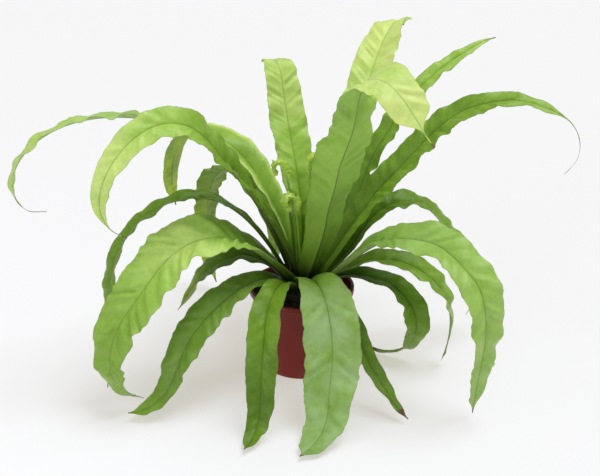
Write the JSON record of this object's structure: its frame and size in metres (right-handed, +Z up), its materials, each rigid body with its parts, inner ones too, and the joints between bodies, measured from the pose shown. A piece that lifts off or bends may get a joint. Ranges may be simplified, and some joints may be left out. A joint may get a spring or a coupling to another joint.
{
  "type": "potted fern",
  "caption": "Strap-leaved fern with wavy arching fronds around a scaly crown, growing in soil in a thin tapered plastic pot.",
  "frame": {"origin": "centre of the pot's flat bottom, on the surface that it stands on", "axes": "+Z up; +X along the plant's widest spread; -Y towards the side with the broad front frond"},
  "size_m": [0.6143, 0.4665, 0.3793],
  "materials": {
    "pot_plastic": "brick-red thin moulded plastic, satin, slightly dusty",
    "soil": "dark moist bark and peat potting mix, crumbly",
    "crown": "dark scaly living rootstock",
    "frond_green": "living leaf, lime to mid green, waxy sheen, pleated and wavy",
    "frond_pale": "living leaf, pale yellow-green, thin and see-through, wavy",
    "crozier": "living young frond, soft lime green, crumpled"
  },
  "bodies": {
    "root": {"pot": "pot_plastic", "potting_soil": "soil", "crown": "crown", "frond_upright_left": "frond_green", "frond_upright_folded": "frond_pale", "frond_tallest_back": "frond_pale", "frond_long_back_right": "frond_green", "frond_arching_back": "frond_green", "frond_low_back": "frond_green", "frond_high_left": "frond_green", "frond_farthest_left": "frond_green", "frond_wide_back_left": "frond_green", "frond_hanging_back_left": "frond_green", "frond_broad_left": "frond_green", "frond_edge_on_left": "frond_green", "frond_low_left": "frond_green", "frond_wavy_left_front": "frond_green", "frond_front_left": "frond_green", "frond_broad_front": "frond_green", "frond_small_front_right": "frond_green", "frond_broad_right": "frond_green", "frond_low_right": "frond_green", "frond_short_right": "frond_green", "frond_farthest_right": "frond_green", "frond_back_right": "frond_green", "crozier_tall_left": "crozier", "crozier_short_left": "crozier", "crozier_tall_right": "crozier"}
  },
  "joints": []
}
